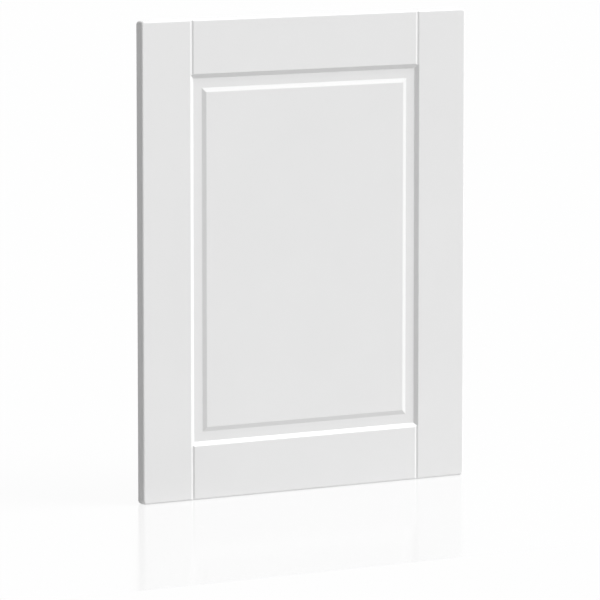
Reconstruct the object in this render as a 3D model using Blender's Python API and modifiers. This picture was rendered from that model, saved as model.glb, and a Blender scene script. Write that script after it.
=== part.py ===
"""Dishwasher door panel: a painted five-piece door, two stiles and two rails round a raised centre panel.

Metres, +Z up. The origin is the middle of the back face, which lies against the appliance door.
X runs across the width, and the front faces -Y.
"""

import math

import bmesh
import bpy
from mathutils import Matrix

# Overall size of the door panel.
PANEL_WIDTH = 0.594
PANEL_HEIGHT = 0.762
BOARD_THICKNESS = 0.018

# Frame: the flat faces of the stiles and rails, and the bevel that slopes down to the centre panel.
STILE_WIDTH = 0.087
RAIL_HEIGHT = 0.086
FRAME_BEVEL_WIDTH = 0.007
FRAME_BEVEL_DEPTH = 0.0037

# Groove along each inner edge, which holds the centre panel's tongue and the rails' tenons.
LIP_THICKNESS = 0.0015
GROOVE_WIDTH = 0.006
GROOVE_DEPTH = 0.009

# Centre panel: a sunk border, then a bevel that rises to the flat field.
BORDER_WIDTH = 0.0153
FIELD_BEVEL_WIDTH = 0.007
FIELD_BEVEL_RISE = 0.0022

# Shallow V along each joint of stile and rail. It starts in line with the stile's bevel.
JOINT_V_HALF = 0.0031
JOINT_V_DEPTH = 0.00095

# Outer edges: the corners are rounded in the front view, then the front edges, and the back edges are eased.
CORNER_ROUNDING = 0.006
OUTER_ROUNDING = 0.0035
BACK_EDGE_EASING = 0.0025
ROUNDING_SEGMENTS = 6
ROUND_PROFILE = 0.5

# Gaps: round every fitted joint, and at the ends of the floating panel's tongue.
FIT_CLEARANCE = 0.0003
PANEL_FLOAT = 0.001

# How far the raw stock stands past the finished outside before the outer shape trims it.
STOCK_ALLOWANCE = 0.004

# White satin lacquer.
LACQUER_COLOUR = (0.8, 0.8, 0.8, 1.0)
LACQUER_ROUGHNESS = 0.35
LACQUER_METALLIC = 0.0

WELD_DISTANCE = 0.00001

# Depths below the front face, and the reach of the frame into the opening.
GROOVE_FRONT = FRAME_BEVEL_DEPTH + LIP_THICKNESS
GROOVE_BACK = GROOVE_FRONT + GROOVE_WIDTH
STILE_REACH = STILE_WIDTH + FRAME_BEVEL_WIDTH
RAIL_REACH = RAIL_HEIGHT + FRAME_BEVEL_WIDTH


def y_at(depth):
    """World Y of a depth below the front face."""
    return depth - BOARD_THICKNESS


def clear_scene():
    for old in list(bpy.data.objects):
        bpy.data.objects.remove(old)


def make_collection(name):
    collection = bpy.data.collections.new(name)
    bpy.context.scene.collection.children.link(collection)
    return collection


def lacquer(name):
    """White satin lacquer, one material for each piece."""
    material = bpy.data.materials.new(name + "_lacquer")
    material.use_nodes = True
    material.diffuse_color = LACQUER_COLOUR
    shader = material.node_tree.nodes["Principled BSDF"]
    shader.inputs["Base Color"].default_value = LACQUER_COLOUR
    shader.inputs["Roughness"].default_value = LACQUER_ROUGHNESS
    shader.inputs["Metallic"].default_value = LACQUER_METALLIC
    return material


def prism(name, outline, half_length, collection):
    """A closed outline in local X and Y, extruded both ways along local Z, as a mesh object."""
    curve = bpy.data.curves.new(name + "_outline", "CURVE")
    curve.dimensions = "2D"
    curve.fill_mode = "BOTH"
    curve.extrude = half_length
    spline = curve.splines.new("POLY")
    spline.points.add(len(outline) - 1)
    for point, (x, y) in zip(spline.points, outline):
        point.co = (x, y, 0.0, 1.0)
    spline.use_cyclic_u = True
    spline.use_smooth = False
    drawn = bpy.data.objects.new(name + "_outline", curve)
    collection.objects.link(drawn)
    graph = bpy.context.evaluated_depsgraph_get()
    mesh = bpy.data.meshes.new_from_object(drawn.evaluated_get(graph))
    mesh.name = name
    welded = bmesh.new()
    welded.from_mesh(mesh)
    bmesh.ops.remove_doubles(welded, verts=welded.verts, dist=WELD_DISTANCE)
    bmesh.ops.recalc_face_normals(welded, faces=welded.faces)
    welded.to_mesh(mesh)
    welded.free()
    solid = bpy.data.objects.new(name, mesh)
    solid.matrix_world = drawn.matrix_world
    collection.objects.link(solid)
    bpy.data.objects.remove(drawn)
    bpy.data.curves.remove(curve)
    return solid


def box_mesh(name, width, thickness, height):
    """A box centred on the origin."""
    shape = bmesh.new()
    bmesh.ops.create_cube(shape, size=1.0)
    bmesh.ops.scale(shape, verts=shape.verts, vec=(width, thickness, height))
    mesh = bpy.data.meshes.new(name)
    shape.to_mesh(mesh)
    shape.free()
    return mesh


def as_cutter(solid):
    solid.hide_render = True
    solid.display_type = "WIRE"
    return solid


def combine(solid, operation, other):
    step = solid.modifiers.new(operation.lower() + "_" + other.name, "BOOLEAN")
    step.operation = operation
    step.solver = "EXACT"
    step.object = other


def runs_front_to_back(edge):
    """Whether an edge of a box centred on the origin joins its front to its back."""
    return edge.verts[0].co.y * edge.verts[1].co.y < 0.0


def rounded_outside(collection):
    """The finished outside of the whole door, which trims every frame member."""
    mesh = box_mesh("rounded_outside", PANEL_WIDTH, BOARD_THICKNESS, PANEL_HEIGHT)
    shape = bmesh.new()
    shape.from_mesh(mesh)
    bmesh.ops.bevel(
        shape,
        geom=[edge for edge in shape.edges if runs_front_to_back(edge)],
        offset=CORNER_ROUNDING,
        segments=ROUNDING_SEGMENTS,
        profile=ROUND_PROFILE,
        affect="EDGES",
    )
    weight = shape.edges.layers.float.new("bevel_weight_edge")
    for edge in shape.edges:
        if not runs_front_to_back(edge):
            at_back = edge.verts[0].co.y > 0.0
            edge[weight] = BACK_EDGE_EASING / OUTER_ROUNDING if at_back else 1.0
    shape.to_mesh(mesh)
    shape.free()
    outside = bpy.data.objects.new("rounded_outside", mesh)
    outside.location.y = y_at(BOARD_THICKNESS / 2.0)
    collection.objects.link(outside)
    rounding = outside.modifiers.new("rounding", "BEVEL")
    rounding.limit_method = "WEIGHT"
    rounding.width = OUTER_ROUNDING
    rounding.segments = ROUNDING_SEGMENTS
    return as_cutter(outside)


def frame_section(half_across, face_width):
    """Section of a stile or rail: local X runs inward from the outer edge, local Y is depth."""
    outer = -half_across
    bevel_top = outer + face_width
    inner = bevel_top + FRAME_BEVEL_WIDTH
    groove_bottom = inner - GROOVE_DEPTH
    run_on = STOCK_ALLOWANCE * FRAME_BEVEL_WIDTH / FRAME_BEVEL_DEPTH
    return [
        (outer - STOCK_ALLOWANCE, y_at(-STOCK_ALLOWANCE)),
        (bevel_top - run_on, y_at(-STOCK_ALLOWANCE)),
        (inner, y_at(FRAME_BEVEL_DEPTH)),
        (inner, y_at(GROOVE_FRONT)),
        (groove_bottom, y_at(GROOVE_FRONT)),
        (groove_bottom, y_at(GROOVE_BACK)),
        (inner, y_at(GROOVE_BACK)),
        (inner, y_at(BOARD_THICKNESS + STOCK_ALLOWANCE)),
        (outer - STOCK_ALLOWANCE, y_at(BOARD_THICKNESS + STOCK_ALLOWANCE)),
    ]


def both_ways(half_outline):
    """A half outline of local X and the distance along the piece, with its mirror image after it."""
    return half_outline + [(across, -along) for across, along in reversed(half_outline)]


def stile_front(half_across, face_width):
    """Front view of a stile: a straight edge along each rail's end, then a mitre across the bevel."""
    face_edge = -half_across + face_width
    rail_edge = PANEL_HEIGHT / 2.0 - RAIL_HEIGHT
    inward = FRAME_BEVEL_WIDTH + STOCK_ALLOWANCE
    return both_ways([
        (face_edge + inward, rail_edge - inward),
        (face_edge + JOINT_V_HALF, rail_edge - JOINT_V_HALF),
        (face_edge + JOINT_V_HALF, PANEL_HEIGHT / 2.0 + STOCK_ALLOWANCE),
        (-half_across - STOCK_ALLOWANCE, PANEL_HEIGHT / 2.0 + STOCK_ALLOWANCE),
    ])


def rail_front(half_across, face_width):
    """Front view of a rail between its shoulders, a clearance away from the stiles."""
    face_edge = -half_across + face_width
    shoulder = PANEL_WIDTH / 2.0 - STILE_WIDTH - JOINT_V_HALF - FIT_CLEARANCE
    mitre_start = JOINT_V_HALF - (math.sqrt(2.0) - 1.0) * FIT_CLEARANCE
    inward = FRAME_BEVEL_WIDTH + STOCK_ALLOWANCE
    return both_ways([
        (face_edge + inward, shoulder - (inward - mitre_start)),
        (face_edge + mitre_start, shoulder),
        (-half_across - STOCK_ALLOWANCE, shoulder),
    ])


def tenon_bar(name, half_across, collection):
    """A bar along the whole rail whose ends are the stub tenons in the stiles' grooves."""
    outer = -half_across - STOCK_ALLOWANCE
    front = y_at(GROOVE_FRONT + FIT_CLEARANCE)
    back = y_at(GROOVE_BACK - FIT_CLEARANCE)
    outline = [(outer, front), (0.0, front), (0.0, back), (outer, back)]
    tenon_end = PANEL_WIDTH / 2.0 - STILE_REACH + GROOVE_DEPTH - FIT_CLEARANCE
    return as_cutter(prism(name, outline, tenon_end, collection))


def joint_v(name, side, collection):
    """The shallow V that runs down a joint of stile and rails, from the top edge to the bottom."""
    middle = PANEL_WIDTH / 2.0 - STILE_WIDTH - JOINT_V_HALF
    mouth = JOINT_V_HALF * (JOINT_V_DEPTH + STOCK_ALLOWANCE) / JOINT_V_DEPTH
    outline = [
        (side * middle - mouth, y_at(-STOCK_ALLOWANCE)),
        (side * middle + mouth, y_at(-STOCK_ALLOWANCE)),
        (side * middle, y_at(JOINT_V_DEPTH)),
    ]
    return as_cutter(prism(name, outline, PANEL_HEIGHT / 2.0 + STOCK_ALLOWANCE, collection))


def through_board(name, outline, collection):
    """A front view extruded through the board, in a frame member's own axes."""
    solid = prism(name, outline, BOARD_THICKNESS + STOCK_ALLOWANCE, collection)
    solid.data.transform(Matrix.Rotation(math.pi / 2.0, 4, "X"))
    return as_cutter(solid)


def stile(name, quarter_turns, joint, outside, cutters, collection):
    half_across = PANEL_WIDTH / 2.0
    section = frame_section(half_across, STILE_WIDTH)
    member = prism(name, section, PANEL_HEIGHT / 2.0 + STOCK_ALLOWANCE, collection)
    front = through_board(name + "_front", stile_front(half_across, STILE_WIDTH), cutters)
    for solid in (member, front):
        solid.rotation_euler.y = quarter_turns * math.pi / 2.0
    combine(member, "INTERSECT", outside)
    combine(member, "INTERSECT", front)
    combine(member, "DIFFERENCE", joint)
    return member


def rail(name, quarter_turns, joints, outside, cutters, collection):
    """A quarter turn about Y takes local X, inward on the left stile, to inward on the top rail."""
    half_across = PANEL_HEIGHT / 2.0
    section = frame_section(half_across, RAIL_HEIGHT)
    member = prism(name, section, PANEL_WIDTH / 2.0 + STOCK_ALLOWANCE, collection)
    front = through_board(name + "_front", rail_front(half_across, RAIL_HEIGHT), cutters)
    tenons = tenon_bar(name + "_tenons", half_across, cutters)
    for solid in (member, front, tenons):
        solid.rotation_euler.y = quarter_turns * math.pi / 2.0
    combine(front, "UNION", tenons)
    combine(member, "INTERSECT", outside)
    combine(member, "INTERSECT", front)
    for joint in joints:
        combine(member, "DIFFERENCE", joint)
    return member


def raised_body():
    """The centre panel without its tongue: back to border, then the bevel up to the field."""
    width = PANEL_WIDTH - 2.0 * (STILE_REACH + FIT_CLEARANCE)
    height = PANEL_HEIGHT - 2.0 * (RAIL_REACH + FIT_CLEARANCE)
    mesh = box_mesh("centre_panel", width, BOARD_THICKNESS - FRAME_BEVEL_DEPTH, height)
    shape = bmesh.new()
    shape.from_mesh(mesh)
    shape.faces.ensure_lookup_table()
    front = min(shape.faces, key=lambda face: face.calc_center_median().y)
    border = BORDER_WIDTH - FIT_CLEARANCE
    bmesh.ops.inset_region(shape, faces=[front], thickness=border, use_even_offset=True)
    bmesh.ops.inset_region(
        shape, faces=[front], thickness=FIELD_BEVEL_WIDTH, depth=FIELD_BEVEL_RISE, use_even_offset=True
    )
    shape.to_mesh(mesh)
    shape.free()
    return mesh


def centre_panel(cutters, collection):
    """The raised panel, with a tongue all round that floats in the frame's grooves."""
    panel = bpy.data.objects.new("centre_panel", raised_body())
    panel.location.y = y_at((FRAME_BEVEL_DEPTH + BOARD_THICKNESS) / 2.0)
    collection.objects.link(panel)
    grow = GROOVE_DEPTH - PANEL_FLOAT
    tongue = bpy.data.objects.new(
        "panel_tongue",
        box_mesh(
            "panel_tongue",
            PANEL_WIDTH - 2.0 * (STILE_REACH - grow),
            GROOVE_WIDTH - 2.0 * FIT_CLEARANCE,
            PANEL_HEIGHT - 2.0 * (RAIL_REACH - grow),
        ),
    )
    tongue.location.y = y_at((GROOVE_FRONT + GROOVE_BACK) / 2.0)
    cutters.objects.link(tongue)
    combine(panel, "UNION", as_cutter(tongue))
    return panel


def main():
    clear_scene()
    door = make_collection("dishwasher_door_panel")
    cutters = make_collection("cutters")
    root = bpy.data.objects.new("door_panel_origin", None)
    door.objects.link(root)

    outside = rounded_outside(cutters)
    left_joint = joint_v("left_joint_v", -1.0, cutters)
    right_joint = joint_v("right_joint_v", 1.0, cutters)
    joints = (left_joint, right_joint)
    pieces = [
        stile("left_stile", 0, left_joint, outside, cutters, door),
        rail("top_rail", 1, joints, outside, cutters, door),
        stile("right_stile", 2, right_joint, outside, cutters, door),
        rail("bottom_rail", 3, joints, outside, cutters, door),
        centre_panel(cutters, door),
    ]
    for piece in pieces:
        piece.data.materials.append(lacquer(piece.name))
        piece.parent = root


main()
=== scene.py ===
"""Looks of the dishwasher door panel: a white lacquered front that stands on a white studio floor.

Metres, in the part's own frame: X across and Z up, with the origin in the middle of the flat back. The front
faces -Y.
"""

import math

import bmesh
import bpy
import numpy as np
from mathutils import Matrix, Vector


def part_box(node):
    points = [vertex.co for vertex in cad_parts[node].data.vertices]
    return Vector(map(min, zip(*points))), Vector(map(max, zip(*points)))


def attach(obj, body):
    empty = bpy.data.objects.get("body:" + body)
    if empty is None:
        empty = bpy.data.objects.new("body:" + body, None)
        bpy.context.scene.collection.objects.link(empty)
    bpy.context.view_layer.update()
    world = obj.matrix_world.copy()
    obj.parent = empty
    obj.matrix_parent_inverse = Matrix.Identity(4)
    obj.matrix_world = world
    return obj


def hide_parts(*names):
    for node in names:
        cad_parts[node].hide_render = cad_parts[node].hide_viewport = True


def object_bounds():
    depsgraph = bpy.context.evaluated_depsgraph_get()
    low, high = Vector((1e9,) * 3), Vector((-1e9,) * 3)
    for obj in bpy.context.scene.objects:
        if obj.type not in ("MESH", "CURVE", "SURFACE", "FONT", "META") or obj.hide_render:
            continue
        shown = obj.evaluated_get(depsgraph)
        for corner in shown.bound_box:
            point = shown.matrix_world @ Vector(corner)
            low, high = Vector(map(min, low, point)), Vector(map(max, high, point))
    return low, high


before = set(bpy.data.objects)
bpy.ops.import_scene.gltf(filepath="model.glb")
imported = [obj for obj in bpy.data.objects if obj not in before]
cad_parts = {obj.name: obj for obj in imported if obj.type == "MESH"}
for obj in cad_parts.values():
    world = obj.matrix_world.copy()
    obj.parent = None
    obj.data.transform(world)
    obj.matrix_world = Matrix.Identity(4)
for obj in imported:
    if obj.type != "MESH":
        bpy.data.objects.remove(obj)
cad_low, cad_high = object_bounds()

# Profile of the front, as in the part's source.
FRAME_BEVEL_WIDTH = 0.007
FRAME_BEVEL_DEPTH = 0.0037
BORDER_WIDTH = 0.0153
FIELD_BEVEL_WIDTH = 0.007
FIELD_BEVEL_RISE = 0.0022
JOINT_V_HALF = 0.0031
JOINT_V_DEPTH = 0.00095
CORNER_ROUNDING = 0.006
OUTER_ROUNDING = 0.0035
BACK_EDGE_EASING = 0.0025

# Overall size and the widths of the frame's flat faces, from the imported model.
HALF_WIDTH = cad_high.x
HALF_HEIGHT = cad_high.z
THICKNESS = cad_high.y - cad_low.y
STILE_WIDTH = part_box("left_stile")[1].x - cad_low.x - FRAME_BEVEL_WIDTH
RAIL_HEIGHT = cad_high.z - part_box("top_rail")[0].z - FRAME_BEVEL_WIDTH
FLOOR_HEIGHT = cad_low.z

# How far lacquer softens the corners of the profile: each is spread over this width.
MOULDING_SOFTENING = 0.0012
JOINT_SOFTENING = 0.0006

# Seams on the back, where the boards meet.
BACK_JOINT_CHAMFER = 0.00015

# Fineness of the boards' meshes.
SOFTENING_STEPS = 3
SUPPORT_STEP = 0.0005
ROUNDING_STEPS = 12
CORNER_STEPS = 4
EASING_STEPS = 5
GRID_DECIMALS = 7
MITRE_TOLERANCE = 0.000001
MERGE_DISTANCE = 0.000005
SHARP_ANGLE = math.radians(20.0)

# Lacquer and backing. Roughness runs from the glossiest places to the dullest.
PAINT_IOR = 1.48
LACQUER_LIGHT = (0.802, 0.802, 0.802, 1.0)
LACQUER_DARK = (0.79, 0.79, 0.79, 1.0)
LACQUER_ROUGHNESS = (0.29, 0.34)
LACQUER_PEEL_SCALE = 420.0
LACQUER_PEEL_HEIGHT = 0.000012
BACKING_LIGHT = (0.76, 0.76, 0.755, 1.0)
BACKING_DARK = (0.74, 0.74, 0.735, 1.0)
BACKING_ROUGHNESS = (0.5, 0.6)
BACKING_PEEL_SCALE = 900.0
BACKING_PEEL_HEIGHT = 0.00002
BACKING_SLOT = 1

# Noise of the paint. Scales are in cells per metre.
CLOUD_SCALE = 7.0
CLOUD_DETAIL = 3.0
CLOUD_ROUGHNESS = 0.55
SMEAR_SCALE = 22.0
SMEAR_DETAIL = 4.0
SMEAR_ROUGHNESS = 0.6
PEEL_DETAIL = 2.0
PEEL_ROUGHNESS = 0.5
NOISE_MIDDLE_RANGE = (0.3, 0.7)

# Camera, from the convergence of the photograph's edges.
CAMERA_AZIMUTH = math.radians(-30.135)
CAMERA_PITCH = math.radians(7.277)
CAMERA_DISTANCE = 8.0
CAMERA_AIM_X = -0.0116
CAMERA_AIM_Z = -0.0736
CAMERA_LENS = 301.12
CAMERA_SENSOR = 36.0

# Studio light. The lamp stands to the right, in front and above. At a slope of 1 the fill fades out to the
# left. What looks at the studio itself sees plain white.
WHITE = (1.0, 1.0, 1.0, 1.0)
WHITE_STRENGTH = 1.0
KEY_DIRECTION = Vector((0.64, -0.38, 0.668))
KEY_STRENGTH = 3.12
KEY_ANGLE = math.radians(40.0)
FILL_STRENGTH = 0.65
FILL_SIDE_SLOPE = 1.0

# Floor.
FLOOR_SIDE = 60.0
FLOOR_WHITE = 0.977
FLOOR_SHADOW_SHARE = 0.04
FLOOR_GLOSS = 0.13
FLOOR_GLOSS_REACH = 0.66
FLOOR_GLOSS_ROUGHNESS = 0.14
FLOOR_BOUNCE = 0.41
FOOT_BOUNCE = 0.7
FOOT_BOUNCE_REACH = 0.005


class Profile:
    """Depth along a line, given as straight stretches between corners and softened over a width."""

    def __init__(self, corners, softening):
        self.places = np.array([place for place, _ in corners])
        self.depths = np.array([depth for _, depth in corners])
        self.softening = softening
        steps = np.diff(self.places) * (self.depths[1:] + self.depths[:-1]) / 2.0
        self.areas = np.concatenate([[0.0], np.cumsum(steps)])

    def area_up_to(self, place):
        """Integral of the depth from the first corner to this place."""
        inside = np.clip(place, self.places[0], self.places[-1])
        index = np.clip(np.searchsorted(self.places, inside) - 1, 0, len(self.places) - 2)
        here = np.interp(inside, self.places, self.depths)
        part = (inside - self.places[index]) * (here + self.depths[index]) / 2.0
        before = min(place - self.places[0], 0.0) * self.depths[0]
        after = max(place - self.places[-1], 0.0) * self.depths[-1]
        return self.areas[index] + part + before + after

    def depth_at(self, place):
        half = self.softening / 2.0
        return (self.area_up_to(place + half) - self.area_up_to(place - half)) / self.softening

    def offsets(self):
        """Places across the softened corners, where the mesh needs lines."""
        steps = range(-SOFTENING_STEPS, SOFTENING_STEPS + 1)
        reach = self.softening / 2.0 / SOFTENING_STEPS
        return [place + step * reach for place in self.places for step in steps]


MOULDING = Profile(
    [
        (0.0, 0.0),
        (FRAME_BEVEL_WIDTH, FRAME_BEVEL_DEPTH),
        (FRAME_BEVEL_WIDTH + BORDER_WIDTH, FRAME_BEVEL_DEPTH),
        (
            FRAME_BEVEL_WIDTH + BORDER_WIDTH + FIELD_BEVEL_WIDTH,
            FRAME_BEVEL_DEPTH - FIELD_BEVEL_RISE,
        ),
    ],
    MOULDING_SOFTENING,
)
JOINT_V = Profile(
    [(0.0, 0.0), (JOINT_V_HALF, JOINT_V_DEPTH), (2.0 * JOINT_V_HALF, 0.0)],
    JOINT_SOFTENING,
)


def inward_of_openings(x, z):
    """How far a point lies inside the stiles' edges and inside the rails' edges."""
    return HALF_WIDTH - STILE_WIDTH - abs(x), HALF_HEIGHT - RAIL_HEIGHT - abs(z)


def front_point(x, z):
    """The point of the finished front that stands for a place on the flat grid."""
    across, along = inward_of_openings(x, z)
    cut = max(MOULDING.depth_at(min(across, along)), JOINT_V.depth_at(across))
    inner_width = HALF_WIDTH - CORNER_ROUNDING
    inner_height = HALF_HEIGHT - CORNER_ROUNDING
    s = max(abs(x) - inner_width, 0.0) / CORNER_ROUNDING
    t = max(abs(z) - inner_height, 0.0) / CORNER_ROUNDING
    # The square corner of the grid becomes a quarter disc, whose rim is the door's rounded corner.
    u = s * math.sqrt(1.0 - t * t / 2.0)
    v = t * math.sqrt(1.0 - s * s / 2.0)
    from_rim = CORNER_ROUNDING * (1.0 - math.hypot(u, v))
    turned = max(1.0 - from_rim / OUTER_ROUNDING, 0.0)
    rounding = OUTER_ROUNDING * (1.0 - math.sqrt(max(1.0 - turned * turned, 0.0)))
    return Vector((
        math.copysign(min(abs(x), inner_width) + CORNER_ROUNDING * u, x),
        max(cut, rounding) - THICKNESS,
        math.copysign(min(abs(z), inner_height) + CORNER_ROUNDING * v, z),
    ))


def grid_lines(half, face_width):
    """Places of the grid's lines from one outer edge to the other."""
    turns = [math.pi / 2.0 * step / ROUNDING_STEPS for step in range(ROUNDING_STEPS, -1, -1)]
    outer = [OUTER_ROUNDING * (1.0 - math.sin(turn)) for turn in turns]
    corner = [
        OUTER_ROUNDING + (CORNER_ROUNDING - OUTER_ROUNDING) * step / CORNER_STEPS
        for step in range(1, CORNER_STEPS + 1)
    ]
    support = np.arange(0.0, FRAME_BEVEL_WIDTH, SUPPORT_STEP)
    offsets = [*MOULDING.offsets(), *JOINT_V.offsets(), *support]
    inner = sorted({round(offset, GRID_DECIMALS) for offset in offsets})
    near = outer + corner + [face_width + offset for offset in inner]
    return [place - half for place in near] + [half - place for place in reversed(near)]


def piece_at(x, z):
    """Name of the piece that a place on the grid belongs to."""
    across, along = inward_of_openings(x, z)
    if min(across, along) > FRAME_BEVEL_WIDTH:
        return "centre_panel"
    joint = min(max(along, JOINT_V_HALF), FRAME_BEVEL_WIDTH)
    if across < joint:
        return "left_stile" if x < 0.0 else "right_stile"
    return "bottom_rail" if z < 0.0 else "top_rail"


def on_mitre(corner):
    """Whether a grid corner lies on a line at 45 degrees from a corner of the opening."""
    across, along = inward_of_openings(*corner)
    return abs(across - along) < MITRE_TOLERANCE


def cells_of_pieces():
    """The grid's cells, as tuples of (x, z) corners, by piece. Cells on a mitre are halved along it."""
    columns = grid_lines(HALF_WIDTH, STILE_WIDTH)
    rows = grid_lines(HALF_HEIGHT, RAIL_HEIGHT)
    found = {name: [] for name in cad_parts}
    for left, right in zip(columns, columns[1:]):
        for low, high in zip(rows, rows[1:]):
            a, b, c, d = (left, low), (right, low), (right, high), (left, high)
            if on_mitre(a) and on_mitre(c):
                cells = [(a, b, c), (a, c, d)]
            elif on_mitre(b) and on_mitre(d):
                cells = [(a, b, d), (b, c, d)]
            else:
                cells = [(a, b, c, d)]
            for cell in cells:
                middle_x = sum(x for x, _ in cell) / len(cell)
                middle_z = sum(z for _, z in cell) / len(cell)
                found[piece_at(middle_x, middle_z)].append(cell)
    return found


def outline_of(cells):
    """The corners round a patch of cells, in order."""
    edges = set()
    for cell in cells:
        edges.update(zip(cell, cell[1:] + cell[:1]))
    follows = {start: end for start, end in edges if (end, start) not in edges}
    first = min(follows)
    loop = [first]
    while follows[loop[-1]] != first:
        loop.append(follows[loop[-1]])
    return loop


def is_outside(a, b):
    """Whether an edge of the outline lies on the door's own outside, and not on a joint."""
    on_side = abs(a[0]) == abs(b[0]) and math.isclose(abs(a[0]), HALF_WIDTH)
    on_end = abs(a[1]) == abs(b[1]) and math.isclose(abs(a[1]), HALF_HEIGHT)
    return on_side or on_end


def mitred(normals):
    """The move of a corner that brings each of its edges in by one unit."""
    if not normals:
        return Vector((0.0, 0.0))
    total = sum(normals[1:], normals[0].copy())
    return total / (1.0 + normals[0].dot(normals[-1])) if len(normals) > 1 else total


def inset_directions(loop):
    """The outline's corners in plan, and where each moves on the outside's easing and a joint's chamfer."""
    plan = [front_point(*corner).xz for corner in loop]
    inward, outside = [], []
    for index, corner in enumerate(loop):
        following = (index + 1) % len(loop)
        along = (plan[following] - plan[index]).normalized()
        inward.append(Vector((-along.y, along.x)))
        outside.append(is_outside(corner, loop[following]))
    moves = []
    for index in range(len(loop)):
        kinds = {True: [], False: []}
        for edge in (index - 1, index):
            kinds[outside[edge]].append(inward[edge])
        moves.append({kind: mitred(normals) for kind, normals in kinds.items()})
    return plan, moves


def back_rows():
    """(Y, inset of the outside, inset of a joint) of each row of the walls, from front to back."""
    rows = []
    for step in range(EASING_STEPS + 1):
        turn = math.pi / 2.0 * step / EASING_STEPS
        height = BACK_EDGE_EASING * (math.sin(turn) - 1.0)
        joint = max(BACK_JOINT_CHAMFER + height, 0.0)
        rows.append((height, BACK_EDGE_EASING * (1.0 - math.cos(turn)), joint))
    return rows


def kept_within(value, limit):
    """The value, moved to the nearest end of the range from -limit to limit where it lies outside."""
    return max(-limit, min(value, limit))


def board_mesh(name, cells):
    """A closed board: the moulded front, walls round it with eased back edges, and a flat back."""
    shape = bmesh.new()
    front = {}
    for cell in cells:
        for corner in cell:
            if corner not in front:
                front[corner] = shape.verts.new(front_point(*corner))
        shape.faces.new([front[corner] for corner in cell])
    loop = outline_of(cells)
    plan, moves = inset_directions(loop)
    ring = [front[corner] for corner in loop]
    for y, outside, joint in back_rows():
        lower = []
        for place, move in zip(plan, moves):
            moved = place + move[True] * outside + move[False] * joint
            x = kept_within(moved.x, HALF_WIDTH - outside)
            z = kept_within(moved.y, HALF_HEIGHT - outside)
            lower.append(shape.verts.new((x, y, z)))
        for index in range(len(loop)):
            before = index - 1
            shape.faces.new([ring[index], ring[before], lower[before], lower[index]])
        ring = lower
    back = shape.faces.new(list(reversed(ring)))
    back.material_index = BACKING_SLOT
    # Where a joint runs into the eased back edge, some of its corners meet in one place.
    bmesh.ops.remove_doubles(shape, verts=shape.verts, dist=MERGE_DISTANCE)
    mesh = bpy.data.meshes.new(name)
    shape.to_mesh(mesh)
    shape.free()
    mesh.shade_smooth()
    mesh.set_sharp_from_angle(angle=SHARP_ANGLE)
    return mesh


def feed(value, socket):
    """Sets a socket to a number, or links another node's output to it."""
    if isinstance(value, float):
        socket.default_value = value
    else:
        socket.node.id_data.links.new(value, socket)


def computed(nodes, operation, *values):
    """Output of a math node over some numbers or outputs."""
    node = nodes.new("ShaderNodeMath")
    node.operation = operation
    for value, socket in zip(values, node.inputs):
        feed(value, socket)
    return node.outputs["Value"]


def mapped(nodes, source, from_range, to_range):
    """Maps an output from one range to another, and keeps it inside that."""
    node = nodes.new("ShaderNodeMapRange")
    node.inputs["From Min"].default_value = from_range[0]
    node.inputs["From Max"].default_value = from_range[1]
    node.inputs["To Min"].default_value = to_range[0]
    node.inputs["To Max"].default_value = to_range[1]
    feed(source, node.inputs["Value"])
    return node.outputs["Result"]


def coordinate(nodes, kind, axis):
    """One axis of the texture coordinates of this kind."""
    place = nodes.new("ShaderNodeTexCoord")
    apart = nodes.new("ShaderNodeSeparateXYZ")
    feed(place.outputs[kind], apart.inputs["Vector"])
    return apart.outputs[axis]


def noise(nodes, coordinates, scale, detail, roughness):
    """A noise over the object."""
    texture = nodes.new("ShaderNodeTexNoise")
    texture.inputs["Scale"].default_value = scale
    texture.inputs["Detail"].default_value = detail
    texture.inputs["Roughness"].default_value = roughness
    feed(coordinates.outputs["Object"], texture.inputs["Vector"])
    return texture.outputs["Fac"]


def mixed(nodes, share, first, second):
    """The first shader, with a share of the second."""
    node = nodes.new("ShaderNodeMixShader")
    feed(share, node.inputs["Fac"])
    feed(first.outputs[0], node.inputs[1])
    feed(second.outputs[0], node.inputs[2])
    return node


def painted(name, light, dark, gloss, peel_scale, peel_height):
    """A sprayed white finish: faintly cloudy, with an uneven gloss and a fine orange-peel surface."""
    material = bpy.data.materials.new(name)
    material.use_nodes = True
    nodes = material.node_tree.nodes
    shader = nodes["Principled BSDF"]
    shader.inputs["IOR"].default_value = PAINT_IOR
    coordinates = nodes.new("ShaderNodeTexCoord")

    clouds = noise(nodes, coordinates, CLOUD_SCALE, CLOUD_DETAIL, CLOUD_ROUGHNESS)
    tint = nodes.new("ShaderNodeMix")
    tint.data_type = "RGBA"
    tint.inputs["A"].default_value = dark
    tint.inputs["B"].default_value = light
    feed(mapped(nodes, clouds, NOISE_MIDDLE_RANGE, (0.0, 1.0)), tint.inputs["Factor"])
    feed(tint.outputs["Result"], shader.inputs["Base Color"])

    smears = noise(nodes, coordinates, SMEAR_SCALE, SMEAR_DETAIL, SMEAR_ROUGHNESS)
    feed(mapped(nodes, smears, NOISE_MIDDLE_RANGE, gloss), shader.inputs["Roughness"])

    bump = nodes.new("ShaderNodeBump")
    bump.inputs["Strength"].default_value = 1.0
    bump.inputs["Distance"].default_value = peel_height
    feed(noise(nodes, coordinates, peel_scale, PEEL_DETAIL, PEEL_ROUGHNESS), bump.inputs["Height"])
    feed(bump.outputs["Normal"], shader.inputs["Normal"])
    return material


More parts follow.
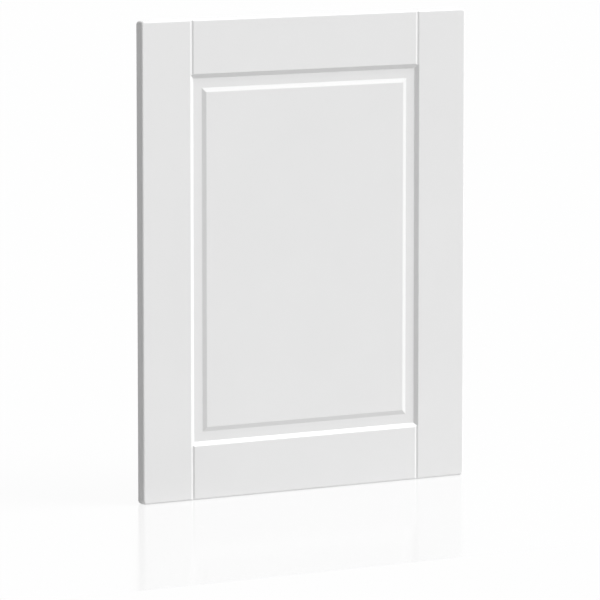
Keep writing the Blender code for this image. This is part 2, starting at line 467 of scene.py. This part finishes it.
def make_boards():
    """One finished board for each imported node, with the lacquer drawn over its edges and joints."""
    lacquer = painted(
        "white_lacquer",
        LACQUER_LIGHT,
        LACQUER_DARK,
        LACQUER_ROUGHNESS,
        LACQUER_PEEL_SCALE,
        LACQUER_PEEL_HEIGHT,
    )
    backing = painted(
        "white_backing",
        BACKING_LIGHT,
        BACKING_DARK,
        BACKING_ROUGHNESS,
        BACKING_PEEL_SCALE,
        BACKING_PEEL_HEIGHT,
    )
    for node, cells in cells_of_pieces().items():
        name = "lacquered_" + node
        mesh = board_mesh(name, cells)
        mesh.materials.append(lacquer)
        mesh.materials.append(backing)
        piece = bpy.data.objects.new(name, mesh)
        bpy.context.scene.collection.objects.link(piece)
        shading = piece.modifiers.new("flat_faces_shade_flat", "WEIGHTED_NORMAL")
        shading.keep_sharp = True
        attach(piece, "root")
        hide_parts(node)


def make_camera():
    """The camera looks down at the panel from the left, far away through a long lens."""
    view = Vector((
        -math.sin(CAMERA_AZIMUTH) * math.cos(CAMERA_PITCH),
        math.cos(CAMERA_AZIMUTH) * math.cos(CAMERA_PITCH),
        -math.sin(CAMERA_PITCH),
    ))
    camera = bpy.data.objects.new("camera", bpy.data.cameras.new("camera"))
    camera.data.lens = CAMERA_LENS
    camera.data.sensor_width = CAMERA_SENSOR
    camera.data.clip_end = 2.0 * CAMERA_DISTANCE + FLOOR_SIDE
    camera.location = Vector((CAMERA_AIM_X, -THICKNESS, CAMERA_AIM_Z)) - view * CAMERA_DISTANCE
    camera.rotation_mode = "QUATERNION"
    camera.rotation_quaternion = view.to_track_quat("-Z", "Y")
    bpy.context.scene.collection.objects.link(camera)
    bpy.context.scene.camera = camera


def make_key_light():
    lamp = bpy.data.objects.new("key", bpy.data.lights.new("key", "SUN"))
    lamp.data.energy = KEY_STRENGTH
    lamp.data.angle = KEY_ANGLE
    lamp.rotation_mode = "QUATERNION"
    lamp.rotation_quaternion = KEY_DIRECTION.to_track_quat("Z", "Y")
    bpy.context.scene.collection.objects.link(lamp)


def seen_directly(nodes):
    """1 for camera, glossy and transmission rays, which see the white studio, and 0 for the light's own."""
    path = nodes.new("ShaderNodeLightPath")
    mirrored = computed(nodes, "MAXIMUM", path.outputs["Is Camera Ray"], path.outputs["Is Glossy Ray"])
    return computed(nodes, "MAXIMUM", mirrored, path.outputs["Is Transmission Ray"])


def make_world():
    """A soft fill, strongest from the right. What looks at it sees plain white."""
    world = bpy.data.worlds.new("studio")
    bpy.context.scene.world = world
    world.use_nodes = True
    nodes = world.node_tree.nodes
    background = nodes["Background"]
    background.inputs["Color"].default_value = WHITE
    sideways = coordinate(nodes, "Generated", "X")
    fill = computed(nodes, "MULTIPLY_ADD", sideways, FILL_STRENGTH * FILL_SIDE_SLOPE, FILL_STRENGTH)
    choice = nodes.new("ShaderNodeMix")
    choice.data_type = "FLOAT"
    feed(seen_directly(nodes), choice.inputs["Factor"])
    feed(fill, choice.inputs["A"])
    feed(WHITE_STRENGTH, choice.inputs["B"])
    feed(choice.outputs["Result"], background.inputs["Strength"])


def glossy_zone(nodes):
    """The floor's gloss, which ends a little way in front of the panel."""
    inside = computed(nodes, "GREATER_THAN", coordinate(nodes, "Object", "Y"), -FLOOR_GLOSS_REACH)
    return computed(nodes, "MULTIPLY", inside, FLOOR_GLOSS)


def floor_bounce(nodes):
    """Light that the floor gives back: more right beside the panel's foot, which lights its lower edge."""
    from_middle = computed(nodes, "ADD", coordinate(nodes, "Object", "Y"), THICKNESS / 2.0)
    distance = computed(nodes, "ABSOLUTE", from_middle)
    beside_foot = (THICKNESS / 2.0, THICKNESS / 2.0 + FOOT_BOUNCE_REACH)
    return mapped(nodes, distance, beside_foot, (FOOT_BOUNCE, FLOOR_BOUNCE))


def floor_material():
    """White, with a faint shadow and a faint reflection. It gives back less light than it shows."""
    material = bpy.data.materials.new("floor")
    material.use_nodes = True
    nodes = material.node_tree.nodes
    nodes.remove(nodes["Principled BSDF"])

    lit = nodes.new("ShaderNodeBsdfDiffuse")
    lit.inputs["Color"].default_value = WHITE
    white = nodes.new("ShaderNodeEmission")
    white.inputs["Strength"].default_value = FLOOR_WHITE
    shown = mixed(nodes, FLOOR_SHADOW_SHARE, white, lit)

    mirror = nodes.new("ShaderNodeBsdfGlossy")
    mirror.inputs["Color"].default_value = WHITE
    mirror.inputs["Roughness"].default_value = FLOOR_GLOSS_ROUGHNESS
    polished = mixed(nodes, glossy_zone(nodes), shown, mirror)

    bounce = nodes.new("ShaderNodeBsdfDiffuse")
    feed(floor_bounce(nodes), bounce.inputs["Color"])
    choice = mixed(nodes, seen_directly(nodes), bounce, polished)
    feed(choice.outputs["Shader"], nodes["Material Output"].inputs["Surface"])
    return material


def make_floor():
    shape = bmesh.new()
    bmesh.ops.create_grid(shape, size=FLOOR_SIDE / 2.0)
    mesh = bpy.data.meshes.new("floor")
    shape.to_mesh(mesh)
    shape.free()
    mesh.materials.append(floor_material())
    floor = bpy.data.objects.new("floor", mesh)
    floor.location.z = FLOOR_HEIGHT
    bpy.context.scene.collection.objects.link(floor)


def main():
    bpy.context.scene.view_settings.view_transform = "Standard"
    make_camera()
    make_boards()
    make_key_light()
    make_world()
    make_floor()


main()

bpy.context.view_layer.update()
